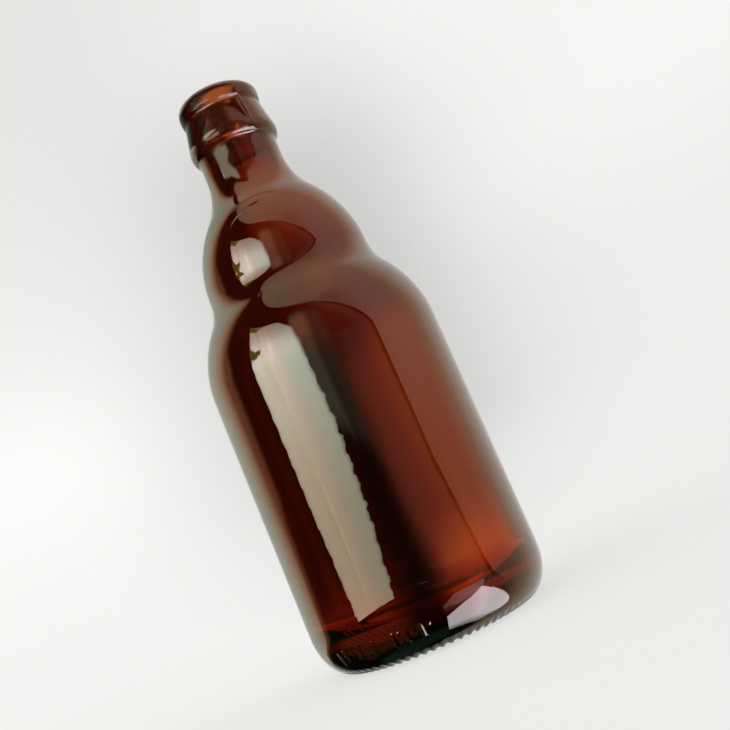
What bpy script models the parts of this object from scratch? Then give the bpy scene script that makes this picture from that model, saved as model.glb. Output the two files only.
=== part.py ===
"""Glass beer bottle, empty and open, standing on its base.

One turned body of amber glass: a round body, a domed shoulder, a narrow waist, a bulb under a short
neck, and a mouth with a collar and a lip for a crown cap. The underside is pushed up, and notches
round the edge of the flat ring that it stands on leave small ridges between them. Metres, +Z up,
origin at the centre of the base.
"""

import math

import bmesh
import bpy

MM = 0.001

# Outer sizes, from the base to the mouth
HEIGHT = 178.0 * MM
BODY_RADIUS = 36.0 * MM
BEARING_INNER_RADIUS = 22.8 * MM
BEARING_RADIUS = 28.2 * MM
HEEL_HEIGHT = 13.0 * MM
SHOULDER_START = 86.4 * MM
SHOULDER_ARC = 34.6 * MM
WAIST_ARC = 15.7 * MM
BULB_RADIUS = 26.1 * MM
BULB_LEVEL = 116.0 * MM
BULB_ARC = 35.1 * MM
NECK_RADIUS = 12.7 * MM
NECK_ARC = 22.6 * MM

# Collar and lip
COLLAR_RADIUS = 14.4 * MM
COLLAR_LEVEL = 162.0 * MM
COLLAR_UNDERCUT = 3.0 * MM
GROOVE_RADIUS = 12.4 * MM
LIP_RADIUS = 13.2 * MM
LIP_BELOW = 2.9 * MM
LIP_ABOVE = 3.1 * MM
LIP_ROUNDING = 3.0 * MM

# Inside of the glass
WALL = 3.5 * MM
BORE_RADIUS = 8.4 * MM
BORE_DEPTH = 12.0 * MM
MOUTH_ROUNDING = 1.3 * MM
BASE_THICKNESS = 5.2 * MM
PUSH_UP = 4.6 * MM
INNER_FLOOR_RADIUS = 21.0 * MM
INNER_FLOOR_LEVEL = 7.0 * MM
INNER_HEEL_LEVEL = 16.5 * MM

# Notches between the ridges: they start on the flat ring and run out on the heel's quarter ellipse
RIDGES = 72
NOTCH_DEPTH = 0.7 * MM
NOTCH_START_RADIUS = 24.8 * MM
NOTCH_END = math.radians(34)

# Rings of the mesh: a ridged ring has a crest and a valley for each ridge, a plain one half as many
RIDGED_COUNT = 2 * RIDGES
PLAIN_COUNT = RIDGES
RIDGED_HEEL_DEGREES = (0, 9, 20)
PLAIN_HEEL_DEGREES = (34, 47, 61, 75, 90)
OUTSIDE_STEPS = (5, 5, 6, 4)
INSIDE_STEPS = (4, 3, 4, 4)
DOME_STEPS = 5
FLOOR_STEPS = 3

GLASS_COLOUR = (0.30, 0.075, 0.012, 1.0)
GLASS_ROUGHNESS = 0.04
GLASS_IOR = 1.52


def clear_scene():
    for thing in list(bpy.data.objects):
        bpy.data.objects.remove(thing, do_unlink=True)


def ellipse_arc(centre, across, up, start, end, steps):
    """Points (radius, height) on an ellipse from one angle to another, both ends included."""
    angles = [start + (end - start) * i / steps for i in range(steps + 1)]
    return [(centre[0] + across * math.cos(a), centre[1] + up * math.sin(a)) for a in angles]


def arc(centre, radius, start, end, steps):
    return ellipse_arc(centre, radius, radius, start, end, steps)


def heading(origin, target):
    return math.atan2(target[1] - origin[1], target[0] - origin[0])


def outer_meeting_point(first, first_reach, second, second_reach):
    """The point at the two given distances from two centres, on the side away from the axis."""
    apart = math.dist(first, second)
    along = (first_reach**2 - second_reach**2 + apart**2) / (2 * apart)
    aside = math.sqrt(first_reach**2 - along**2)
    direction = heading(first, second)
    return (
        first[0] + along * math.cos(direction) + aside * math.sin(direction),
        first[1] + along * math.sin(direction) - aside * math.cos(direction),
    )


def side_contour(inset, steps):
    """Shoulder, waist, bulb and neck as four arcs that run into each other, inset into the glass."""
    shoulder = (BODY_RADIUS - SHOULDER_ARC, SHOULDER_START)
    bulb = (BULB_RADIUS - BULB_ARC, BULB_LEVEL)
    waist = outer_meeting_point(shoulder, SHOULDER_ARC + WAIST_ARC, bulb, BULB_ARC + WAIST_ARC)
    neck_x = NECK_RADIUS + NECK_ARC
    neck_rise = math.sqrt((BULB_ARC + NECK_ARC) ** 2 - (neck_x - bulb[0]) ** 2)
    neck = (neck_x, BULB_LEVEL + neck_rise)

    shoulder_end = heading(shoulder, waist)
    waist_start = shoulder_end + math.pi
    waist_end = heading(bulb, waist) + math.pi
    bulb_start = heading(bulb, waist)
    bulb_end = heading(bulb, neck)
    shoulder_steps, waist_steps, bulb_steps, neck_steps = steps
    return (
        arc(shoulder, SHOULDER_ARC - inset, 0, shoulder_end, shoulder_steps)
        + arc(waist, WAIST_ARC + inset, waist_start, waist_end, waist_steps)[1:]
        + arc(bulb, BULB_ARC - inset, bulb_start, bulb_end, bulb_steps)[1:]
        + arc(neck, NECK_ARC + inset, bulb_end + math.pi, math.pi, neck_steps)[1:]
    )


def underside():
    """From the axis over the pushed-up dome to the flat ring that the bottle stands on."""
    return ellipse_arc((0, 0), BEARING_INNER_RADIUS, PUSH_UP, math.radians(90), 0, DOME_STEPS)


def heel_point(degrees):
    """A point of the quarter ellipse from the flat ring, at 0, to the body's side, at 90."""
    angle = math.radians(degrees)
    across = BODY_RADIUS - BEARING_RADIUS
    return BEARING_RADIUS + across * math.sin(angle), HEEL_HEIGHT * (1 - math.cos(angle))


def notch_floor(degrees):
    """The heel's point at this angle, moved into the glass by the notch's depth there."""
    angle = math.radians(degrees)
    radius, height = heel_point(degrees)
    across = BODY_RADIUS - BEARING_RADIUS
    slope = math.atan2(HEEL_HEIGHT * math.sin(angle), across * math.cos(angle))
    depth = NOTCH_DEPTH * (1 - angle / NOTCH_END)
    return radius - depth * math.sin(slope), height + depth * math.cos(slope)


def finish():
    """Collar, groove and lip, from under the collar up and over to the bore."""
    collar_base = (NECK_RADIUS, COLLAR_LEVEL)
    collar_swell = COLLAR_RADIUS - NECK_RADIUS
    collar = ellipse_arc(collar_base, collar_swell, COLLAR_UNDERCUT, math.radians(-90), 0, 4)
    lip_level = HEIGHT - LIP_ABOVE
    lip_lower = ellipse_arc(
        (GROOVE_RADIUS, lip_level), LIP_RADIUS - GROOVE_RADIUS, LIP_BELOW, math.radians(-90), 0, 3
    )
    lip_centre = (LIP_RADIUS - LIP_ROUNDING, lip_level)
    lip_upper = ellipse_arc(lip_centre, LIP_ROUNDING, LIP_ABOVE, 0, math.radians(90), 3)
    mouth_centre = (BORE_RADIUS + MOUTH_ROUNDING, HEIGHT - MOUTH_ROUNDING)
    mouth = arc(mouth_centre, MOUTH_ROUNDING, math.radians(90), math.radians(180), 2)
    return collar + lip_lower + lip_upper[1:] + mouth


def inside():
    """From the bore's lower end down the inside to the floor's centre."""
    floor_centre = PUSH_UP + BASE_THICKNESS
    contour = side_contour(WALL, INSIDE_STEPS)
    inner_radius = BODY_RADIUS - WALL
    heel = ellipse_arc(
        (INNER_FLOOR_RADIUS, INNER_HEEL_LEVEL),
        inner_radius - INNER_FLOOR_RADIUS,
        INNER_HEEL_LEVEL - INNER_FLOOR_LEVEL,
        0,
        math.radians(-90),
        4,
    )
    rise = floor_centre - INNER_FLOOR_LEVEL
    outward = [1 - (i + 1) / FLOOR_STEPS for i in range(FLOOR_STEPS)]
    floor = [(INNER_FLOOR_RADIUS * x, INNER_FLOOR_LEVEL + rise * (1 - x * x)) for x in outward]
    return [(BORE_RADIUS, HEIGHT - BORE_DEPTH)] + contour[::-1] + heel + floor


def ring(mesh, point, count, valley=None):
    """A ring of vertices, or one vertex on the axis. With a valley, every second one lies in it."""
    if point[0] < 1e-9:
        return [mesh.verts.new((0, 0, point[1]))]
    vertices = []
    for i in range(count):
        radius, height = valley if valley and i % 2 == 1 else point
        turn = 2 * math.pi * i / count
        vertices.append(mesh.verts.new((radius * math.cos(turn), radius * math.sin(turn), height)))
    return vertices


def bridge(mesh, lower, upper):
    """Faces between two rings of equal count, of one and two to one, or a ring and a point."""
    count = max(len(lower), len(upper))
    if len(lower) == 1 or len(upper) == 1:
        for i in range(count):
            j = (i + 1) % count
            if len(lower) == 1:
                mesh.faces.new((lower[0], upper[j], upper[i]))
            else:
                mesh.faces.new((lower[i], lower[j], upper[0]))
    elif len(lower) == len(upper):
        for i in range(count):
            j = (i + 1) % count
            mesh.faces.new((lower[i], lower[j], upper[j], upper[i]))
    elif len(lower) > len(upper):
        for i in range(len(upper)):
            j = (i + 1) % len(upper)
            left, middle, right = lower[2 * i], lower[2 * i + 1], lower[(2 * i + 2) % count]
            mesh.faces.new((left, middle, upper[i]))
            mesh.faces.new((middle, upper[j], upper[i]))
            mesh.faces.new((middle, right, upper[j]))
    else:
        for i in range(len(lower)):
            j = (i + 1) % len(lower)
            left, middle, right = upper[2 * i], upper[2 * i + 1], upper[(2 * i + 2) % count]
            mesh.faces.new((left, lower[i], middle))
            mesh.faces.new((lower[i], lower[j], middle))
            mesh.faces.new((middle, lower[j], right))


def bottle_mesh():
    """The closed skin of the glass: underside, heel, outside, lip, inside and floor in turn."""
    above = side_contour(0, OUTSIDE_STEPS) + finish() + inside()
    mesh = bmesh.new()
    rings = [ring(mesh, point, PLAIN_COUNT) for point in underside()]
    rings.append(ring(mesh, (NOTCH_START_RADIUS, 0), RIDGED_COUNT))
    for degrees in RIDGED_HEEL_DEGREES:
        rings.append(ring(mesh, heel_point(degrees), RIDGED_COUNT, notch_floor(degrees)))
    rings += [ring(mesh, heel_point(degrees), PLAIN_COUNT) for degrees in PLAIN_HEEL_DEGREES]
    rings += [ring(mesh, point, PLAIN_COUNT) for point in above]
    for lower, upper in zip(rings, rings[1:]):
        bridge(mesh, lower, upper)
    for face in mesh.faces:
        face.smooth = True
    data = bpy.data.meshes.new("bottle")
    mesh.to_mesh(data)
    mesh.free()
    return data


def amber_glass():
    material = bpy.data.materials.new("amber_glass")
    material.use_nodes = True
    shader = material.node_tree.nodes["Principled BSDF"]
    shader.inputs["Base Color"].default_value = GLASS_COLOUR
    shader.inputs["Roughness"].default_value = GLASS_ROUGHNESS
    shader.inputs["Metallic"].default_value = 0.0
    shader.inputs["IOR"].default_value = GLASS_IOR
    shader.inputs["Transmission Weight"].default_value = 1.0
    return material


def make_bottle():
    data = bottle_mesh()
    data.materials.append(amber_glass())
    bottle = bpy.data.objects.new("bottle", data)
    bpy.context.scene.collection.objects.link(bottle)
    return bottle


clear_scene()
make_bottle()
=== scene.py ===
import math

import bmesh
import bpy
from mathutils import Matrix, Vector


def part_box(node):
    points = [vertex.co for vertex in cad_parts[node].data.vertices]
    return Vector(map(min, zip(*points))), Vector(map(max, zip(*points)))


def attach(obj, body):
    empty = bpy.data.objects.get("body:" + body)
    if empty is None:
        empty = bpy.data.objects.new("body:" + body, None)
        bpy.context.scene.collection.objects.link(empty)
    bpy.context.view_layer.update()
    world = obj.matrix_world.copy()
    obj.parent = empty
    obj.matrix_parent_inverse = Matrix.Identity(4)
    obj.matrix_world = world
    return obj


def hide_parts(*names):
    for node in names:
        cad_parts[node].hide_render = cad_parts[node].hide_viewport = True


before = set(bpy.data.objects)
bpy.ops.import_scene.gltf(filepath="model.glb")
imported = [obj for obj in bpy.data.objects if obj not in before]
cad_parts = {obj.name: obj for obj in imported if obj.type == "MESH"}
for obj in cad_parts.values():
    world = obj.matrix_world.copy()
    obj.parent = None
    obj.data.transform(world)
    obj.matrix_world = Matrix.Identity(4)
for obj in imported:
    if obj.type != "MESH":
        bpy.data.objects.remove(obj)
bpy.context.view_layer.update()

MM = 0.001

# The bottle's driving sizes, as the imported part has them
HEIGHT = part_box("bottle")[1].z
BODY_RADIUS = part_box("bottle")[1].x
BEARING_INNER_RADIUS = 22.8 * MM
BEARING_RADIUS = 28.2 * MM
BEARING_ROUNDING = 0.8 * MM
HEEL_HEIGHT = 13.0 * MM
SHOULDER_START = 86.4 * MM
SHOULDER_ARC = 34.6 * MM
WAIST_ARC = 15.7 * MM
BULB_RADIUS = 26.1 * MM
BULB_LEVEL = 116.0 * MM
BULB_ARC = 35.1 * MM
NECK_RADIUS = 12.7 * MM
NECK_ARC = 22.6 * MM
COLLAR_RADIUS = 14.4 * MM
COLLAR_LEVEL = 162.0 * MM
COLLAR_UNDERCUT = 3.0 * MM
GROOVE_RADIUS = 12.4 * MM
LIP_RADIUS = 13.2 * MM
LIP_BELOW = 2.9 * MM
LIP_ABOVE = 3.1 * MM
LIP_ROUNDING = 3.0 * MM
WALL = 3.5 * MM
BORE_RADIUS = 8.4 * MM
BORE_DEPTH = 12.0 * MM
MOUTH_ROUNDING = 1.3 * MM
BASE_THICKNESS = 5.2 * MM
PUSH_UP = 4.6 * MM
INNER_FLOOR_RADIUS = 21.0 * MM
INNER_FLOOR_LEVEL = 7.0 * MM
INNER_HEEL_LEVEL = 16.5 * MM

# Notches between the ridges, from the flat ring out on the heel's quarter ellipse
RIDGES = 72
NOTCH_DEPTH = 0.7 * MM
NOTCH_START_RADIUS = 24.8 * MM
NOTCH_END = math.radians(34)
NOTCH_FULLNESS = 0.8

# Rings of the mesh: fine ones carry the ridges and the marks on the heel, coarse ones the rest
FINE_COUNT = 10 * RIDGES
FINE_PER_COARSE = 3
COARSE_COUNT = FINE_COUNT // FINE_PER_COARSE

# Stretches of the heel, in degrees of its quarter ellipse: start, end, rings
HEEL_STRETCHES = ((0, 34, 12), (34, 44, 3), (44, 76, 24), (76, 90, 4))

# Plain raised marks on the heel: azimuth in degrees, lower and upper level in millimetres
MARKS = (
    (-50.0, 5.0, 8.0),
    (-46.0, 5.4, 8.6),
    (-42.5, 7.4, 7.6),
    (-39.0, 5.2, 8.6),
    (-35.0, 5.4, 8.6),
    (-31.5, 5.6, 5.8),
    (-28.0, 5.4, 8.8),
    (-18.0, 5.4, 8.8),
    (-15.0, 8.4, 8.6),
    (-15.0, 5.6, 5.8),
    (-12.0, 5.4, 8.8),
    (-8.5, 7.0, 7.2),
    (-5.0, 5.4, 8.8),
    (-1.5, 8.0, 8.2),
)
MARK_HEIGHT = 0.22 * MM
MARK_HALF_WIDTH = 0.12 * MM
MARK_FOOT = 0.55 * MM

# Mould seam: a fine raised line on both sides of the bottle
SEAM_TURN = math.radians(-54)
SEAM_HEIGHT = 0.06 * MM
SEAM_ON_BODY = 0.15
SEAM_HALF_WIDTH = math.radians(0.45)

# Waves of the inner and outer surface: size, waves round the bottle, radians per metre up, start
WALL_WAVES = ((0.16, 2, 31, 0.8), (0.10, 3, -74, 2.1), (0.07, 5, 120, 4.0), (0.05, 1, 190, 0.0))
SKIN_WAVES = ((1.0, 7, 140, 0.4), (1.0, 13, -90, 1.9), (1.0, 5, 420, 3.0))
SKIN_WAVE = 0.012 * MM

# The skin is a little less glossy towards the mouth
SOFT_SKIN_FROM = 138 * MM
SOFT_SKIN_FULL = 164 * MM
SOFT_SKIN_ROUGHNESS = 0.13

# Camera, fitted to the photograph, with the focal length in pixels of its side
CAMERA_PLACE = (10.6 * MM, -280 * MM, 42.2 * MM)
CAMERA_PITCH = math.radians(7.83)
CAMERA_PAN = math.radians(0.06)
CAMERA_ROLL = math.radians(-23.37)
CAMERA_FOCAL = 928.8
IMAGE_SIDE = 730
SENSOR = 36.0


def ellipse_arc(centre, across, up, start, end, steps):
    """Points (radius, height) on an ellipse from one angle to another, both ends included."""
    angles = [start + (end - start) * i / steps for i in range(steps + 1)]
    return [(centre[0] + across * math.cos(a), centre[1] + up * math.sin(a)) for a in angles]


def arc(centre, radius, start, end, steps):
    return ellipse_arc(centre, radius, radius, start, end, steps)


def line(start, end, steps):
    """Points from start to end, both ends included."""
    return [
        (start[0] + (end[0] - start[0]) * i / steps, start[1] + (end[1] - start[1]) * i / steps)
        for i in range(steps + 1)
    ]


def heading(origin, target):
    return math.atan2(target[1] - origin[1], target[0] - origin[0])


def outer_meeting_point(first, first_reach, second, second_reach):
    """The point at the two given distances from two centres, on the side away from the axis."""
    apart = math.dist(first, second)
    along = (first_reach**2 - second_reach**2 + apart**2) / (2 * apart)
    aside = math.sqrt(first_reach**2 - along**2)
    direction = heading(first, second)
    return (
        first[0] + along * math.cos(direction) + aside * math.sin(direction),
        first[1] + along * math.sin(direction) - aside * math.cos(direction),
    )


def side_contour(inset, steps):
    """Shoulder, waist, bulb and neck as four arcs that run into each other, inset into the glass."""
    shoulder = (BODY_RADIUS - SHOULDER_ARC, SHOULDER_START)
    bulb = (BULB_RADIUS - BULB_ARC, BULB_LEVEL)
    waist = outer_meeting_point(shoulder, SHOULDER_ARC + WAIST_ARC, bulb, BULB_ARC + WAIST_ARC)
    neck_x = NECK_RADIUS + NECK_ARC
    neck_rise = math.sqrt((BULB_ARC + NECK_ARC) ** 2 - (neck_x - bulb[0]) ** 2)
    neck = (neck_x, BULB_LEVEL + neck_rise)
    shoulder_end = heading(shoulder, waist)
    waist_end = heading(bulb, waist) + math.pi
    bulb_start = heading(bulb, waist)
    bulb_end = heading(bulb, neck)
    return (
        arc(shoulder, SHOULDER_ARC - inset, 0, shoulder_end, steps[0])
        + arc(waist, WAIST_ARC + inset, shoulder_end + math.pi, waist_end, steps[1])[1:]
        + arc(bulb, BULB_ARC - inset, bulb_start, bulb_end, steps[2])[1:]
        + arc(neck, NECK_ARC + inset, bulb_end + math.pi, math.pi, steps[3])[1:]
    )


def smooth(value, start, end):
    """0 before start and 1 after end, with a soft rise between."""
    t = max(0.0, min(1.0, (value - start) / (end - start)))
    return t * t * (3 - 2 * t)


def hill(value, middle, width):
    """1 at the middle, falling off softly on both sides."""
    return math.exp(-(((value - middle) / width) ** 2))


def mix(first, second, share):
    return tuple(a + (b - a) * share for a, b in zip(first, second))


def follow(stops, value):
    """The value on a line of straight pieces through the stops (place, value), level at its ends."""
    if value <= stops[0][0]:
        return stops[0][1]
    for (start, low), (end, high) in zip(stops, stops[1:]):
        if value <= end:
            return low + (high - low) * (value - start) / (end - start)
    return stops[-1][1]


def underside():
    """From the axis over the pushed-up dome to the flat ring that the bottle stands on."""
    edge = BEARING_INNER_RADIUS + BEARING_ROUNDING
    dome = ellipse_arc((0, 0), BEARING_INNER_RADIUS, PUSH_UP, math.radians(90), math.radians(10), 14)
    rounding = arc((edge, BEARING_ROUNDING), BEARING_ROUNDING, math.radians(185), math.radians(270), 4)
    return dome + rounding + [(24.3 * MM, 0)]


def heel_point(angle):
    """A point of the quarter ellipse from the flat ring, at 0, to the body's side, at a right angle."""
    across = BODY_RADIUS - BEARING_RADIUS
    return BEARING_RADIUS + across * math.sin(angle), HEEL_HEIGHT * (1 - math.cos(angle))


def ridged_zone():
    """The flat ring's outer part and the heel, close together where the notches and marks are."""
    flat = line((NOTCH_START_RADIUS, 0), (BEARING_RADIUS, 0), 5)[:-1]
    degrees = [0] + [a + (b - a) * i / n for a, b, n in HEEL_STRETCHES for i in range(1, n + 1)]
    return flat + [heel_point(math.radians(angle)) for angle in degrees]


def notch(radius, height):
    """The way from this point of the profile to the floor of a notch, across and up."""
    if radius < NOTCH_START_RADIUS or height > HEEL_HEIGHT:
        return 0.0, 0.0
    if radius < BEARING_RADIUS:
        share = (radius - NOTCH_START_RADIUS) / (BEARING_RADIUS - NOTCH_START_RADIUS)
        return 0.0, NOTCH_DEPTH * share
    angle = math.acos(max(-1.0, min(1.0, 1 - height / HEEL_HEIGHT)))
    across = BODY_RADIUS - BEARING_RADIUS
    slope = math.atan2(HEEL_HEIGHT * math.sin(angle), across * math.cos(angle))
    depth = NOTCH_DEPTH * max(0.0, 1 - angle / NOTCH_END)
    return -depth * math.sin(slope), depth * math.cos(slope)


def mark_lift(turn, radius, height):
    """How far the raised marks stand out of the heel at this place."""
    lift = 0.0
    for azimuth, low, high in MARKS:
        aside = (turn - math.radians(azimuth - 90) + math.pi) % (2 * math.pi) - math.pi
        beyond = max(low * MM - height, height - high * MM, 0.0)
        away = math.hypot(aside * radius, beyond)
        lift = max(lift, MARK_HEIGHT * (1 - smooth(away, MARK_HALF_WIDTH, MARK_FOOT)))
    return lift


def finish():
    """Collar, groove and lip, from under the collar up and over to the bore."""
    collar_swell = COLLAR_RADIUS - NECK_RADIUS
    collar = ellipse_arc(
        (NECK_RADIUS, COLLAR_LEVEL), collar_swell, COLLAR_UNDERCUT, math.radians(-80), 0, 8
    )
    lip_level = HEIGHT - LIP_ABOVE
    band_end = (GROOVE_RADIUS, lip_level - LIP_BELOW)
    band = line(collar[-1], band_end, 8)
    lip_lower = ellipse_arc(
        (GROOVE_RADIUS, lip_level), LIP_RADIUS - GROOVE_RADIUS, LIP_BELOW, math.radians(-80), 0, 8
    )
    lip_centre = (LIP_RADIUS - LIP_ROUNDING, lip_level)
    lip_upper = ellipse_arc(lip_centre, LIP_ROUNDING, LIP_ABOVE, 0, math.radians(90), 10)
    mouth_centre = (BORE_RADIUS + MOUTH_ROUNDING, HEIGHT - MOUTH_ROUNDING)
    mouth = arc(mouth_centre, MOUTH_ROUNDING, math.radians(90), math.radians(180), 6)
    return collar + band[1:] + lip_lower + lip_upper[1:] + mouth


def inside():
    """From the bore's lower end down the inside to the floor's centre."""
    floor_centre = PUSH_UP + BASE_THICKNESS
    bore = line((BORE_RADIUS, HEIGHT - MOUTH_ROUNDING - 1 * MM), (BORE_RADIUS, HEIGHT - BORE_DEPTH), 4)
    contour = side_contour(WALL, (14, 8, 14, 8))[::-1]
    wall = line((BODY_RADIUS - WALL, SHOULDER_START), (BODY_RADIUS - WALL, INNER_HEEL_LEVEL), 16)
    heel_arc = ellipse_arc(
        (INNER_FLOOR_RADIUS, INNER_HEEL_LEVEL),
        BODY_RADIUS - WALL - INNER_FLOOR_RADIUS,
        INNER_HEEL_LEVEL - INNER_FLOOR_LEVEL,
        0,
        math.radians(-90),
        14,
    )
    rise = floor_centre - INNER_FLOOR_LEVEL
    outward = [1 - (i + 1) / 10 for i in range(10)]
    floor = [(INNER_FLOOR_RADIUS * x, INNER_FLOOR_LEVEL + rise * (1 - x * x)) for x in outward]
    taper = line(bore[-1], contour[0], 5)[1:-1]
    return bore + taper + contour + wall[1:-1] + heel_arc + floor


def turns(count):
    """The angles of a ring's vertices, drawn together at the two seams."""
    coarse = 2 * math.pi / COARSE_COUNT
    angles = []
    for i in range(count):
        angle = 2 * math.pi * i / count
        for seam in (SEAM_TURN, SEAM_TURN + math.pi):
            offset = (angle - seam + math.pi) % (2 * math.pi) - math.pi
            steps = abs(offset) / coarse
            if steps <= 1:
                moved = SEAM_HALF_WIDTH * steps
            elif steps < 2:
                moved = SEAM_HALF_WIDTH + (2 * coarse - SEAM_HALF_WIDTH) * (steps - 1)
            else:
                continue
            angle = seam + math.copysign(moved, offset)
        angles.append(angle)
    return angles


def near_seam(angle):
    """1 on a seam, falling to 0 at its foot."""
    offset = (angle - SEAM_TURN + math.pi / 2) % math.pi - math.pi / 2
    return max(0.0, 1 - abs(offset) / SEAM_HALF_WIDTH)


def seam_share(height):
    """Faint on the body, clearer on the band between collar and lip, gone on the lip."""
    on_band = smooth(height, COLLAR_LEVEL, COLLAR_LEVEL + 1 * MM)
    lip_start = HEIGHT - LIP_ABOVE - LIP_BELOW
    on_lip = smooth(height, lip_start, lip_start + 1 * MM)
    return (SEAM_ON_BODY + (1 - SEAM_ON_BODY) * on_band) * (1 - on_lip)


def waves(parts, angle, height):
    return sum(size * math.sin(around * angle + up * height + start) for size, around, up, start in parts)


def uneven_wall(angle, height):
    """The inner surface's slow waves, as blown glass has them."""
    return MM * waves(WALL_WAVES, angle, height)


def uneven_skin(angle, height):
    """The outer surface's faint waves: never above the nominal profile."""
    return SKIN_WAVE * (waves(SKIN_WAVES, angle, height) / len(SKIN_WAVES) - 1)


def outside_place(point, normal, angle):
    """A point of the outer profile, moved by the relief that it has at this angle."""
    radius, height = point
    across, up = notch(radius, height)
    valley = (0.5 - 0.5 * math.cos(RIDGES * angle)) ** NOTCH_FULLNESS
    lift = 0.0
    if height > HEEL_HEIGHT:
        grown = smooth(height, HEEL_HEIGHT, 2 * HEEL_HEIGHT)
        grown *= 1 - smooth(height, 0.85 * HEIGHT, 0.9 * HEIGHT)
        lift += grown * uneven_skin(angle, height)
        lift += SEAM_HEIGHT * seam_share(height) * near_seam(angle)
    elif radius > BEARING_RADIUS:
        lift += mark_lift(angle, radius, height)
    return (
        radius + valley * across + lift * normal[0],
        height + valley * up + lift * normal[1],
    )


def ring(mesh, point, normal, count, skin):
    """A ring of vertices round the axis, or one vertex on it, with the relief of that skin."""
    radius, height = point
    if radius < 1e-9:
        return [mesh.verts.new((0, 0, height))]
    vertices = []
    for angle in turns(count):
        across, up = point
        if skin == "outside":
            across, up = outside_place(point, normal, angle)
        if skin == "inside":
            wave = uneven_wall(angle, height)
            across, up = radius + wave * normal[0], height + wave * normal[1]
        vertices.append(mesh.verts.new((across * math.cos(angle), across * math.sin(angle), up)))
    return vertices


def bridge(mesh, lower, upper):
    """Faces between two rings of equal count, of one and three to one, or a ring and a point."""
    count = max(len(lower), len(upper))
    if min(len(lower), len(upper)) == 1:
        for i in range(count):
            j = (i + 1) % count
            if len(lower) == 1:
                mesh.faces.new((lower[0], upper[j], upper[i]))
            else:
                mesh.faces.new((lower[i], lower[j], upper[0]))
        return
    if len(lower) == len(upper):
        for i in range(count):
            j = (i + 1) % count
            mesh.faces.new((lower[i], lower[j], upper[j], upper[i]))
        return
    for i in range(COARSE_COUNT):
        j = (i + 1) % COARSE_COUNT
        fine = [(FINE_PER_COARSE * i + k) % FINE_COUNT for k in range(FINE_PER_COARSE + 1)]
        if len(lower) > len(upper):
            a, b, c, d = (lower[k] for k in fine)
            mesh.faces.new((a, b, upper[i]))
            mesh.faces.new((b, c, upper[j], upper[i]))
            mesh.faces.new((c, d, upper[j]))
        else:
            a, b, c, d = (upper[k] for k in fine)
            mesh.faces.new((lower[i], b, a))
            mesh.faces.new((lower[i], lower[j], c, b))
            mesh.faces.new((lower[j], d, c))


def normals_of(points):
    """The profile's normal at each point, to the right of the way it runs."""
    normals = []
    for i in range(len(points)):
        before, after = points[max(i - 1, 0)], points[min(i + 1, len(points) - 1)]
        along = Vector((after[0] - before[0], after[1] - before[1])).normalized()
        normals.append((along.y, -along.x))
    return normals


def bottle_rings():
    """Every ring of the skin in turn: (point, normal, count, skin)."""
    below = underside()
    low = ridged_zone()
    side = line((BODY_RADIUS, HEEL_HEIGHT), (BODY_RADIUS, SHOULDER_START), 16)[1:-1]
    contour = side_contour(0, (22, 10, 22, 12))
    neck = line(contour[-1], (NECK_RADIUS, COLLAR_LEVEL - COLLAR_UNDERCUT - 0.6 * MM), 4)[1:]
    above = side + contour + neck + finish()
    within = inside()
    points = below + low + above + within
    counts = [COARSE_COUNT] * len(below) + [FINE_COUNT] * len(low)
    counts += [COARSE_COUNT] * len(above + within)
    skins = ["under"] * len(below) + ["outside"] * len(low + above)
    skins += ["inside"] * len(within)
    return list(zip(points, normals_of(points), counts, skins))


def bottle_mesh():
    mesh = bmesh.new()
    rings = [ring(mesh, *entry) for entry in bottle_rings()]
    for lower, upper in zip(rings, rings[1:]):
        bridge(mesh, lower, upper)
    for face in mesh.faces:
        face.smooth = True
    data = bpy.data.meshes.new("glass_bottle")
    mesh.to_mesh(data)
    mesh.free()
    return data


def new_material(name):
    material = bpy.data.materials.new(name)
    material.use_nodes = True
    return material, material.node_tree.nodes, material.node_tree.links


def amber_glass():
    """Clear glass whose body takes up blue and green light, a little softer at the mouth."""
    material, nodes, links = new_material("amber_glass")
    shader = nodes["Principled BSDF"]
    shader.inputs["Base Color"].default_value = (1.0, 1.0, 1.0, 1.0)
    shader.inputs["Roughness"].default_value = 0.0
    shader.inputs["IOR"].default_value = 1.52
    shader.inputs["Transmission Weight"].default_value = 1.0
    body = nodes.new("ShaderNodeVolumeAbsorption")
    body.inputs["Color"].default_value = (0.846, 0.445, 0.039, 1.0)
    body.inputs["Density"].default_value = 700.0
    links.new(body.outputs["Volume"], nodes["Material Output"].inputs["Volume"])
    place = nodes.new("ShaderNodeTexCoord")
    height = nodes.new("ShaderNodeSeparateXYZ")
    soft = nodes.new("ShaderNodeMapRange")
    soft.inputs["From Min"].default_value = SOFT_SKIN_FROM
    soft.inputs["From Max"].default_value = SOFT_SKIN_FULL
    soft.inputs["To Max"].default_value = SOFT_SKIN_ROUGHNESS
    links.new(place.outputs["Object"], height.inputs["Vector"])
    links.new(height.outputs["Z"], soft.inputs["Value"])
    links.new(soft.outputs["Result"], shader.inputs["Roughness"])
    return material


def make_bottle():
    data = bottle_mesh()
    data.materials.append(amber_glass())
    bottle = bpy.data.objects.new("glass_bottle", data)
    bpy.context.scene.collection.objects.link(bottle)
    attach(bottle, "root")
    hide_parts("bottle")
    return bottle


# The room that the glass mirrors, in metres: the nearer pieces cover those behind them
ROOM_CENTRE = 80 * MM
ROOM_RADIUS = 3.0
SCREEN_DISTANCE = 0.96 * ROOM_RADIUS
GROUND_DISTANCE = 0.95 * ROOM_RADIUS
LOW_LIGHT_DISTANCE = 0.92 * ROOM_RADIUS
WINDOW_DISTANCE = 0.9 * ROOM_RADIUS
LEAVES_DISTANCE = 0.86 * ROOM_RADIUS
WINDOW_THROUGH_GLASS = 0.12

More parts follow.
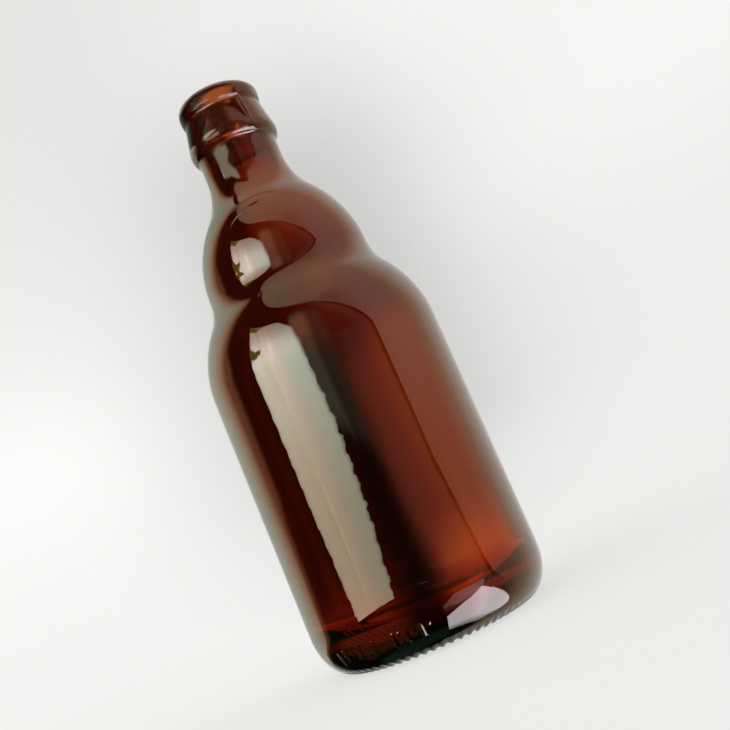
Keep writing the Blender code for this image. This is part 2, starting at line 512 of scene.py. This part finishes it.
# The pale floor, matt near the bottle and glowing with painted light further out, and the wall that it
# runs up into
FLOOR_TONE = (0.93, 0.93, 0.915)
FLOOR_GLOW = 0.72
FLOOR_SOLID = 0.15
FLOOR_EDGE = 0.50
BACKDROP_RADIUS = 1.30
BACKDROP_HEIGHT = 2.2

# Colours of light that are used more than once
EARTH_BROWN = (0.46, 0.12, 0.04)
EDGE_BROWN = (0.85, 0.36, 0.14)
BEIGE_GREY = (0.84, 0.87, 0.78)
NEAR_DARK = (0.02, 0.022, 0.015)


def light_attribute(data, colours):
    attribute = data.color_attributes.new("light", "FLOAT_COLOR", "POINT")
    for entry, colour in zip(attribute.data, colours):
        entry.color = (*colour, 1.0)


def glowing(name):
    """A surface that gives off the colours of its mesh."""
    material, nodes, links = new_material(name)
    nodes.remove(nodes["Principled BSDF"])
    glow = nodes.new("ShaderNodeEmission")
    colour = nodes.new("ShaderNodeVertexColor")
    colour.layer_name = "light"
    links.new(colour.outputs["Color"], glow.inputs["Color"])
    links.new(glow.outputs["Emission"], nodes["Material Output"].inputs["Surface"])
    return material


def seen_only_by(thing, glossy=False, transmission=False):
    """Keeps a stage piece out of the picture itself, out of shadows and off the floor."""
    thing.visible_camera = False
    thing.visible_diffuse = False
    thing.visible_shadow = False
    thing.visible_volume_scatter = False
    thing.visible_glossy = glossy
    thing.visible_transmission = transmission


def grid_mesh(name, rows, columns, place, light):
    """A glowing grid: place(column, row) and light(column, row) give each vertex's place and colour."""
    points, colours, faces = [], [], []
    for row in range(rows + 1):
        for column in range(columns + 1):
            points.append(place(column, row))
            colours.append(light(column, row))
    for row in range(rows):
        for column in range(columns):
            first = row * (columns + 1) + column
            faces.append((first, first + 1, first + columns + 2, first + columns + 1))
    data = bpy.data.meshes.new(name)
    data.from_pydata(points, [], faces)
    light_attribute(data, colours)
    data.materials.append(glowing(name))
    thing = bpy.data.objects.new(name, data)
    bpy.context.scene.collection.objects.link(thing)
    return thing


def stations(*legs):
    """Places along one or more legs (start, end, number of steps), each leg's end left to the next."""
    places = [start + (end - start) * i / steps for start, end, steps in legs for i in range(steps)]
    return places + [legs[-1][1]]


def direction(azimuth, elevation, distance):
    """A place at this azimuth and elevation, in degrees, seen from the bottle's middle."""
    a, e = math.radians(azimuth), math.radians(elevation)
    across = distance * math.cos(e)
    return (across * math.sin(a), -across * math.cos(a), ROOM_CENTRE + distance * math.sin(e))


def patch(name, across, up, place, light, distance, **seen):
    """A glowing sheet of the room: place(u, v) gives azimuth and elevation, light(u, v) its colour."""
    def at(column, row):
        return direction(*place(across[column], up[row]), distance)

    def colour(column, row):
        return light(across[column], up[row])

    sheet = grid_mesh(name, len(up) - 1, len(across) - 1, at, colour)
    seen_only_by(sheet, **seen)


def same(u, v):
    return u, v


# Light all round, by azimuth in degrees: 0 is the front, 90 the right
AROUND = (
    (-180, BEIGE_GREY),
    (-150, (0.78, 0.82, 0.72)),
    (-128, (1.40, 1.34, 0.98)),
    (-117, (1.70, 1.18, 0.72)),
    (-106, EDGE_BROWN),
    (-90, (0.90, 0.55, 0.28)),
    (20, (1.15, 0.80, 0.50)),
    (60, (1.30, 0.62, 0.40)),
    (90, (1.35, 0.66, 0.40)),
    (111, (1.50, 1.00, 0.62)),
    (125, (1.55, 1.20, 0.92)),
    (145, (1.15, 1.08, 1.00)),
    (180, BEIGE_GREY),
)


def blend(stops, value):
    """The colour at this value, between stops (value, colour)."""
    return tuple(follow([(at, colour[i]) for at, colour in stops], value) for i in range(3))


def far_light(azimuth, elevation):
    """What the glass mirrors beyond the dark screen: azimuth 0 is the front, 90 the right."""
    light = blend(AROUND, azimuth)
    paler = smooth(elevation, 0, 9) * smooth(azimuth, 40, 60) * (1 - smooth(azimuth, 80, 110))
    light = mix(light, (1.5, 0.98, 0.74), paler)
    upper = smooth(elevation, 48, 58) * smooth(azimuth, -110, -70) * (1 - smooth(azimuth, 60, 110))
    light = mix(light, (1.42, 1.08, 0.66), max(upper, smooth(elevation, 66, 78)))
    low = 1 - smooth(elevation, -34, -16)
    at_side = 0.8 * smooth(-azimuth, 130, 170) + 0.95 * smooth(azimuth, 66, 100)
    return mix(light, (0.03, 0.045, 0.035), low * (1 - at_side))


def screen_left(elevation):
    """The azimuth of the dark screen's left edge."""
    stops = (
        (-22, -150),
        (-12, -120),
        (-5, -112),
        (0, -108),
        (2, -103),
        (9, -100),
        (22, -101),
        (30, -107),
        (64, -107),
        (70, -94),
    )
    return follow(stops, elevation)


def screen_right(elevation):
    """The azimuth of the dark screen's right edge: straight, then an ellipse's arc, then up to a tip."""
    if elevation < 0:
        return 60 - elevation
    if elevation < 52:
        return -20 + 79.5 * math.sqrt(1 - (elevation / 56) ** 2)
    stops = ((52, 9.5), (55, -8), (57.5, -32), (61, -52), (66, -72), (70, -92))
    return follow(stops, elevation)


def greenish_band(azimuth, elevation):
    """How much of the green right of the window shows here, above an uneven lower edge."""
    edge = 3.9 - 0.13 * azimuth + 0.25 * math.sin(0.9 * azimuth) + 0.15 * math.sin(2.3 * azimuth + 1)
    above_edge = smooth(elevation, edge - 1.3, edge + 1.3) * smooth(azimuth, -22, -14)
    return above_edge * (1 - smooth(azimuth, 9, 20)) * (1 - smooth(elevation, 38, 50))


def screen_light(azimuth, elevation, u):
    """The dark screen in front, u being 0 at its left edge and 1 at its right one."""
    dark = (0.016, 0.030, 0.014)

    # Greenish beside the window, dimmer to the right
    green = mix((0.24, 0.25, 0.13), (0.60, 0.66, 0.43), 1 - smooth(azimuth, -5, 2))
    light = mix(dark, green, greenish_band(azimuth, elevation))

    # Red-brown towards the right, most of it low down
    lower = max(smooth(elevation, -12, -3), smooth(azimuth, 30, 50))
    glow = smooth(azimuth, 5, 30) * (1 - 0.72 * smooth(elevation, 5, 16)) * lower
    light = mix(light, (1.12, 0.33, 0.21), glow)

    # Brown low on the left, as on the ground below
    brown = smooth(azimuth, -108, -84) * (1 - smooth(azimuth, -34, -8))
    brown *= 1 - smooth(elevation, -15, -9)
    light = mix(light, EARTH_BROWN, brown)

    # Paler before the right edge
    light = mix(light, (0.80, 0.34, 0.20), 0.6 * smooth(u, 0.86, 0.95) * smooth(azimuth, 0, 20))

    # Lit wall beside the window's upper part
    wall = smooth(azimuth, -22, -12) * (1 - smooth(azimuth, -7, 5))
    wall *= smooth(elevation, 16, 28) * (1 - smooth(elevation, 38, 48))
    light = mix(light, (1.7, 0.85, 0.45), wall)

    # Brown along the left edge and a dark line along the right one
    light = mix(light, EDGE_BROWN, 1 - smooth(u, 0.0, 0.055))
    return mix(light, dark, smooth(u, 0.972, 0.985) * smooth(elevation, -14, -6))


def make_screen():
    def place(u, v):
        left, right = screen_left(v), screen_right(v)
        return left + (right - left) * u, v

    def light(u, v):
        azimuth, elevation = place(u, v)
        return screen_light(azimuth, elevation, u)

    across = stations((0.0, 0.96, 200), (0.96, 1.0, 24))
    up = stations((-22, -12, 10), (-12, 12, 80), (12, 52, 60), (52, 70, 30))
    patch("dark_screen", across, up, place, light, SCREEN_DISTANCE, glossy=True)


def ground_light(azimuth, elevation):
    """Dark below, with a green band and brown towards the left, fading out at the left end."""
    green = smooth(elevation, -86, -74) * (1 - smooth(elevation, -60, -52))
    ground = mix((0.012, 0.015, 0.012), (0.08, 0.15, 0.09), green)
    brown = smooth(elevation, -52, -42) * smooth(azimuth, -108, -84) * (1 - smooth(azimuth, -34, -8))
    ground = mix(ground, EARTH_BROWN, brown)
    return mix(far_light(azimuth, elevation), ground, smooth(azimuth, -152, -136))


def make_ground():
    """The dark ground in front of the bottle, below the screen."""
    across = stations((-152.0, 12.0, 80))
    up = stations((-90.0, -21.0, 40))
    patch("dark_ground", across, up, same, ground_light, GROUND_DISTANCE, glossy=True)


def window_edges(elevation):
    """The azimuths of the window's uneven left edge and its right edge, frayed low down."""
    ragged = (
        0.7 * math.sin(9 * elevation)
        + 0.6 * math.sin(23 * elevation + 1)
        + 0.5 * math.sin(41 * elevation)
        + 0.8 * math.sin(4.1 * elevation + 2)
    )
    left_stops = ((-9, -66), (-3, -66), (0, -67), (30, -67), (46, -71))
    right_stops = (
        (-9, -28),
        (-6, -22),
        (-2, -16),
        (1, -13),
        (5, -11),
        (8, -12.8),
        (25, -15),
        (40, -17),
        (49, -22),
    )
    frayed = 1.5 * abs(math.sin(19 * elevation) * math.sin(53 * elevation + 2))
    frayed *= 1 - smooth(elevation, 4, 8)
    left = follow(left_stops, elevation) + 0.5 * ragged
    right = follow(right_stops, elevation) - ragged - frayed
    return left, right


def window_light(u, elevation):
    """Beige on the left, greenish on the right, dimmer downwards and towards the top, softly folded."""
    levels = (
        (-9, (6.0, 4.7, 3.0)),
        (0, (6.9, 5.9, 4.0)),
        (4, (8.2, 7.3, 5.2)),
        (14, (13.0, 12.4, 9.9)),
        (26, (11.0, 9.8, 8.2)),
        (36, (7.0, 5.6, 4.2)),
        (48, (3.6, 2.3, 1.5)),
    )
    light = blend(levels, elevation)
    greener = tuple(c * k for c, k in zip(light, (0.74, 0.90, 0.94)))
    light = mix(light, greener, smooth(u, 0.45, 0.85))
    bend = u + 0.003 * elevation + 0.012 * math.sin(0.5 * elevation)
    fold = 1 - 0.09 * hill(bend, 0.31, 0.04) + 0.06 * hill(bend, 0.39, 0.04)
    fold -= 0.07 * hill(bend, 0.64, 0.06)
    fold += 0.26 * hill(u, 0.45, 0.05) * hill(elevation, 24, 6)
    fold += 0.03 * math.sin(47 * u + 1) + 0.02 * math.sin(5 * elevation + 9 * u)
    fade = (1 - 0.5 * smooth(u, 0.93, 1.0)) * (0.75 + 0.25 * smooth(u, 0.0, 0.08))
    return tuple(c * fold * fade for c in light)


def window_place(u, v):
    """Azimuth and elevation in the window, whose upper edge slopes down at both sides."""
    low = -8.0 + 1.0 * u
    high = follow(((0, 41), (0.12, 44.5), (0.75, 43.5), (1, 34)), u)
    elevation = low + (high - low) * v
    left, right = window_edges(elevation)
    return left + (right - left) * u, elevation


def make_window():
    """The bright window, and a dimmer one for light that passes through the glass."""
    def light(u, v):
        return window_light(u, window_place(u, v)[1])

    def dimmer(u, v):
        return tuple(WINDOW_THROUGH_GLASS * c for c in light(u, v))

    across = stations((0.0, 1.0, 96))
    up = stations((0.0, 0.35, 200), (0.35, 1.0, 80))
    patch("window", across, up, window_place, light, WINDOW_DISTANCE, glossy=True)
    patch("window_seen_through", across, up, window_place, dimmer, WINDOW_DISTANCE, transmission=True)


def leaf_light(u, v):
    return mix((0.25, 0.35, 0.03), (1.7, 1.5, 0.25), 0.5 + 0.5 * math.sin(31 * u) * math.sin(13 * v))


def make_leaves():
    """Small plants at the window's left edge, between two elevations and two azimuths each."""
    for low, high, start, end in ((18.0, 27.5, -68.0, -55.0), (40.5, 45.0, -70.0, -53.0)):
        def place(u, v):
            thin = 1 - 0.7 * u + 0.15 * math.sin(23 * u)
            middle = (low + high) / 2 + 0.8 * math.sin(9 * u)
            return start + (end - start) * u, middle + (v - 0.5) * (high - low) * thin

        across, up = stations((0.0, 1.0, 20)), stations((0.0, 1.0, 6))
        patch("leaves", across, up, place, leaf_light, LEAVES_DISTANCE, glossy=True)


def low_light(azimuth, v):
    """Brightest near azimuth 55, dim along the lower edge."""
    bright = mix((8.4, 7.4, 7.5), (10.5, 9.4, 9.8), hill(azimuth, 55, 12))
    return mix(bright, (2.5, 2.5, 2.4), 1 - smooth(v, 0.0, 0.35))


def dim_low_light(azimuth, v):
    return mix((1.2, 0.8, 0.7), (2.2, 1.7, 1.6), smooth(azimuth, 11, 50))


# Low patches: name, lower and upper edge as (azimuth, elevation), light
LOW_LIGHTS = (
    (
        "low_light",
        ((13, -65), (16, -65), (49, -67), (75, -68), (101, -56)),
        ((13, -38), (53, -18), (101, -46)),
        low_light,
    ),
    (
        "dim_low_light",
        ((11, -22.2), (28, -27), (53, -18), (57, -12)),
        ((11, -22), (25, -12), (57, -11)),
        dim_low_light,
    ),
)


def make_low_lights():
    """Two pale patches low on the right: a bright one and a dimmer one above it."""
    for name, bottom, top, light in LOW_LIGHTS:
        def place(u, v):
            return u, follow(bottom, u) + (follow(top, u) - follow(bottom, u)) * v

        across = stations((bottom[0][0], bottom[-1][0], 60))
        up = stations((0.0, 1.0, 40))
        patch(name, across, up, place, light, LOW_LIGHT_DISTANCE, glossy=True)


def near_mirrored(name, place, across, up, light):
    """A small sheet beside the mouth, by place in millimetres, that only the nearby glass mirrors."""
    def at(column, row):
        return tuple(c * MM for c in place(across[column], up[row]))

    def colour(column, row):
        return light(across[column], up[row])

    sheet = grid_mesh(name, len(up) - 1, len(across) - 1, at, colour)
    seen_only_by(sheet, glossy=True)


def before_neck(x, z):
    return x, -25, z


def before_neck_light(x, z):
    """Painted shade, with a painted dimmer part of the window that the neck mirrors."""
    low_stops = ((-36, 167), (-28, 164.2), (-24, 162.2), (-20, 160.4), (-14, 159.6), (-6, 160.4))
    high_stops = ((-36, 172), (-25, 171.5), (-21, 168.2), (-16, 166), (-6, 165.5))
    low, high = follow(low_stops, x), follow(high_stops, x)
    shown = smooth(z, low - 0.4, low + 0.4) * (1 - smooth(z, high - 0.6, high + 0.6))
    shown *= smooth(x, -37, -34) * (1 - smooth(x, -7.4, -5.8))
    return mix(NEAR_DARK, (3.0, 2.6, 1.8), shown)


def before_lip(x, z):
    return x, -16.5, z


def before_lip_light(x, z):
    """Painted shade: dark all over."""
    return NEAR_DARK


def beside_mouth(y, z):
    return -15.5, y, z


def beside_mouth_light(y, z):
    """Dark in front as painted shade, pale further back."""
    return mix(NEAR_DARK, (0.46, 0.48, 0.39), smooth(y, -7, 1))


# Dark sheets close to the neck and lip that only the glass mirrors: painted shade in the finish's
# reflections, and a dimmer painted reflection of the window on the neck
def make_mouth_surroundings():
    neck_across, neck_up = stations((-60.0, 1.0, 120)), stations((157.0, 172.0, 60))
    near_mirrored("before_neck", before_neck, neck_across, neck_up, before_neck_light)
    lip_across, lip_up = stations((-40.0, 20.0, 1)), stations((173.0, 190.0, 1))
    near_mirrored("before_lip", before_lip, lip_across, lip_up, before_lip_light)
    mouth_across, mouth_up = stations((-14.0, 22.0, 40)), stations((166.0, 178.0, 2))
    near_mirrored("beside_mouth", beside_mouth, mouth_across, mouth_up, beside_mouth_light)


def make_mirrored_room():
    across = stations((-180.0, 180.0, 360))
    up = stations((-90.0, -14.0, 76), (-14.0, 14.0, 56), (14.0, 90.0, 76))
    patch("mirrored_room", across, up, same, far_light, ROOM_RADIUS, glossy=True)
    make_screen()
    make_ground()
    make_window()
    make_leaves()
    make_low_lights()
    make_mouth_surroundings()


def amber_lit(level):
    """Light of this level on a pale sheet: the dimmer, the more of it came through the amber glass."""
    clear = smooth(level, 0.05, 0.40)
    return (level, level * (0.2 + 0.8 * clear), level * (0.1 + 0.9 * clear))


def through_light(azimuth, elevation):
    """What is seen through the glass away from the table: dim."""
    return amber_lit(0.10 + 0.15 * smooth(elevation, 20, 70))


def table_light(x, z):
    """The painted light on the table behind the bottle, with the bottle's painted shadow, as seen through
    the glass, by place in millimetres.
    """
    # Behind the body: brighter to the right, most of all low down, and a little at the lower left
    level = 0.045 + 0.03 * smooth(x, 0, 8) * (1 - smooth(z, 55, 90))
    level += 0.28 * smooth(x, 9, 26) + 0.40 * (1 - smooth(z, 12, 34)) * smooth(x, 4, 13)
    level += 0.14 * (1 - smooth(z, 4, 26)) * (1 - smooth(x, -16, -8))

    # Behind the shoulder, the bulb and the neck
    level += (0.12 - level) * smooth(z, 92, 112) * smooth(x, -14, 0)
    level += (0.24 - level) * smooth(z, 125, 150) * smooth(x, -14, -2)
    level += (0.08 - level) * smooth(z, 166, 178)
    # Painted shade at the left of the finish
    level *= 1 - 0.8 * smooth(z, 156, 166) * (1 - smooth(x, -9, -2))

    # Painted shadow where the bottle touches the table
    level *= 1 - 0.97 * hill(x, -2, 8.0) * (1 - smooth(z, 85, 110))

    # Beyond the bottle's sides, and above the mouth
    level += (0.10 - level) * smooth(abs(x), 38, 52)
    above_mouth = smooth(z, 195.5, 200) * smooth(x, -17, -12) * (1 - smooth(x, 13, 20))
    level += (0.52 - level) * above_mouth
    return amber_lit(level)


def base_light(x, y):
    """The painted light on the ground seen down through the base, dark in the middle as the bottle's
    painted shadow, by place in millimetres.
    """
    left = 0.45 * (1 - smooth(x, -18, -6))
    right = 0.75 * smooth(x, 2, 15)
    level = 0.05 + (left + right) * (1 - smooth(math.hypot(x, y), 60, 190))
    return amber_lit(level)


def sheet_seen_through(name, first, second, place, light):
    """A flat sheet with its own light, first and second being its spans (start, end, steps)."""
    def along(span, step):
        return span[0] + (span[1] - span[0]) * step / span[2]

    def at(column, row):
        return tuple(c * MM for c in place(along(first, column), along(second, row)))

    def colour(column, row):
        return light(along(first, column), along(second, row))

    sheet = grid_mesh(name, second[2], first[2], at, colour)
    seen_only_by(sheet, transmission=True)


def on_table(x, z):
    return x, 37.5, z


def on_ground(x, y):
    return x, y, -1.0


def make_seen_through():
    across = stations((-180.0, 180.0, 72))
    up = stations((-90.0, 90.0, 36))
    patch("seen_through", across, up, same, through_light, ROOM_RADIUS, transmission=True)
    # Sheets seen only through the glass, glowing with painted light: the table behind, with the bottle's
    # painted shadow, and the ground below
    table_spans = (-200, 200, 200), (-120, 330, 180)
    sheet_seen_through("table_seen_through", *table_spans, on_table, table_light)
    ground_spans = (-240, 240, 160), (-240, 37, 90)
    sheet_seen_through("ground_seen_through", *ground_spans, on_ground, base_light)


def backdrop_tone_and_painted_shadow(azimuth, height):
    """The backdrop's tone with painted shading, and the bottle's painted soft shadow behind it; height in
    metres.
    """
    aside = 180 - azimuth if azimuth > 0 else -180 - azimuth
    behind = 1 - smooth(abs(aside), 50, 100)

    # Painted shading: brighter at the left and the upper right of the picture, darker at its upper left
    tone = 0.86 + 0.04 * behind * (1 - smooth(aside, -26, -8)) * (1 - smooth(height, 0.2, 0.6))
    tone += 0.08 * behind * (1 - smooth(aside, -24, -12)) * hill(height, 0.26, 0.16)
    tone += 0.06 * behind * smooth(aside, 4, 14) * smooth(height, 0.2, 0.5)
    tone -= 0.07 * behind * smooth(height, 0.45, 1.0) * (1 - smooth(aside, -14, 4))

    # A wide painted soft shadow with a narrow core, weaker at the floor
    spread = 13 if aside > -1 else 10
    shadow = 0.31 * hill(aside, -1, spread) * (1 - smooth(height, 0.55, 0.95))
    shadow += 0.07 * hill(aside, 1, 7) * (1 - smooth(height, 0.3, 0.6))
    shadow *= 0.3 + 0.7 * smooth(height, 0.0, 0.12)
    return mix((tone, tone, 0.98 * tone), (0.0, 0.0, 0.0), shadow)


def pale_sweep():
    """Matt and lit by the lamps near the bottle, glowing further out in the mesh's tone with its painted
    shading and shadow.
    """
    material, nodes, links = new_material("pale_sweep")
    shader = nodes["Principled BSDF"]
    shader.inputs["Base Color"].default_value = (*FLOOR_TONE, 1.0)
    shader.inputs["Roughness"].default_value = 0.9
    shader.inputs["Specular IOR Level"].default_value = 0.0
    tone = nodes.new("ShaderNodeVertexColor")
    tone.layer_name = "light"
    glow = nodes.new("ShaderNodeEmission")
    links.new(tone.outputs["Color"], glow.inputs["Color"])
    place = nodes.new("ShaderNodeTexCoord")
    away = nodes.new("ShaderNodeVectorMath")
    away.operation = "LENGTH"
    links.new(place.outputs["Object"], away.inputs[0])
    share = nodes.new("ShaderNodeMapRange")
    share.interpolation_type = "SMOOTHSTEP"
    share.inputs["To Min"].default_value = FLOOR_GLOW
    share.inputs["From Min"].default_value = FLOOR_SOLID
    share.inputs["From Max"].default_value = FLOOR_EDGE
    links.new(away.outputs["Value"], share.inputs["Value"])
    both = nodes.new("ShaderNodeMixShader")
    links.new(share.outputs["Result"], both.inputs["Fac"])
    links.new(shader.outputs["BSDF"], both.inputs[1])
    links.new(glow.outputs["Emission"], both.inputs[2])
    links.new(both.outputs["Shader"], nodes["Material Output"].inputs["Surface"])
    return material


def make_backdrop():
    """A floor that runs up into a wall all round, without an edge."""
    floor_rows, curve_rows, wall_rows = 20, 16, 20
    rows, columns = floor_rows + curve_rows + wall_rows, 144
    bend = BACKDROP_RADIUS - FLOOR_EDGE

    def profile(row):
        if row <= floor_rows:
            return max(0.0005, FLOOR_EDGE * row / floor_rows), 0.0
        if row <= floor_rows + curve_rows:
            angle = math.pi / 2 * (row - floor_rows) / curve_rows
            return FLOOR_EDGE + bend * math.sin(angle), bend * (1 - math.cos(angle))
        share = (row - floor_rows - curve_rows) / wall_rows
        return BACKDROP_RADIUS, bend + (BACKDROP_HEIGHT - bend) * share

    def place(column, row):
        radius, height = profile(row)
        turn = 2 * math.pi * column / columns
        return (radius * math.sin(turn), -radius * math.cos(turn), height)

    def light(column, row):
        azimuth = (360 * column / columns + 180) % 360 - 180
        return backdrop_tone_and_painted_shadow(azimuth, profile(row)[1])

    sheet = grid_mesh("floor_and_backdrop", rows, columns, place, light)
    sheet.data.materials[0] = pale_sweep()
    for face in sheet.data.polygons:
        face.use_smooth = True
    seen_only_by(sheet)
    sheet.visible_camera = True


def make_lights():
    world = bpy.context.scene.world or bpy.data.worlds.new("world")
    bpy.context.scene.world = world
    world.use_nodes = True
    background = world.node_tree.nodes["Background"]
    background.inputs["Color"].default_value = (*FLOOR_TONE, 1.0)
    background.inputs["Strength"].default_value = 0.85
    data = bpy.data.lights.new("soft_key", "SUN")
    data.energy = 0.5
    data.angle = math.radians(50)
    data.color = (1.0, 0.98, 0.95)
    lamp = bpy.data.objects.new("soft_key", data)
    lamp.rotation_euler = Vector((0.55, 0.25, -0.8)).to_track_quat("-Z", "Y").to_euler()
    lamp.visible_glossy = False
    lamp.visible_transmission = False
    bpy.context.scene.collection.objects.link(lamp)


def make_camera():
    data = bpy.data.cameras.new("camera")
    data.sensor_width = SENSOR
    data.lens = CAMERA_FOCAL * SENSOR / IMAGE_SIDE
    data.clip_start = 0.01
    camera = bpy.data.objects.new("camera", data)
    camera.matrix_world = (
        Matrix.Translation(CAMERA_PLACE)
        @ Matrix.Rotation(CAMERA_PAN, 4, "Z")
        @ Matrix.Rotation(math.pi / 2 + CAMERA_PITCH, 4, "X")
        @ Matrix.Rotation(CAMERA_ROLL, 4, "Z")
    )
    bpy.context.scene.collection.objects.link(camera)
    bpy.context.scene.camera = camera


def set_render_look():
    scene = bpy.context.scene
    scene.view_settings.view_transform = "Standard"
    scene.cycles.max_bounces = 24
    scene.cycles.transmission_bounces = 20
    scene.cycles.glossy_bounces = 10
    scene.cycles.diffuse_bounces = 4


make_bottle()
make_backdrop()
make_mirrored_room()
make_seen_through()
make_lights()
make_camera()
set_render_look()
